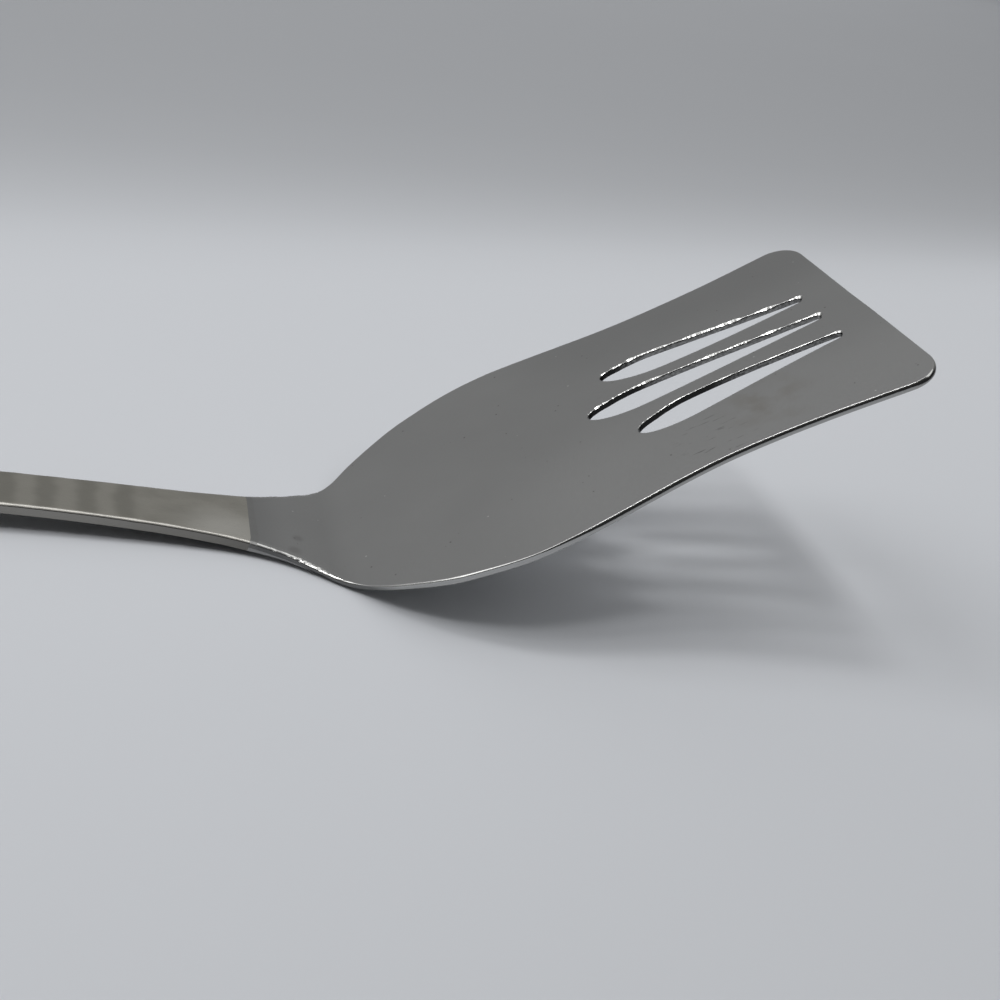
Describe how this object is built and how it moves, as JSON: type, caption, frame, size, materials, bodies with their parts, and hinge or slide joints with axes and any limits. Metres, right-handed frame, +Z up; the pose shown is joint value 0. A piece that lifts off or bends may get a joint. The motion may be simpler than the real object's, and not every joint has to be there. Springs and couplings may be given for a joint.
{
  "type": "turner",
  "caption": "Slotted kitchen turner: a waisted steel blade with leaf-shaped slots, cranked up from a flat arched steel handle and lap-welded to it.",
  "frame": {"origin": "on the table, under the middle of the bounding box, with the turner lying on its heel and on the end of its handle", "axes": "+X along the turner towards the blade's tip, +Y to its left, +Z up from the table"},
  "size_m": [0.3322, 0.0764, 0.0775],
  "materials": {
    "blade_steel": "matte, tumbled, with fine specks and scratches",
    "handle_steel": "satin, brushed along its length",
    "weld_steel": "ground weld metal"
  },
  "bodies": {
    "root": {"blade": "blade_steel", "handle": "handle_steel", "seam_weld": "weld_steel", "left_edge_weld": "weld_steel", "right_edge_weld": "weld_steel"}
  },
  "joints": []
}
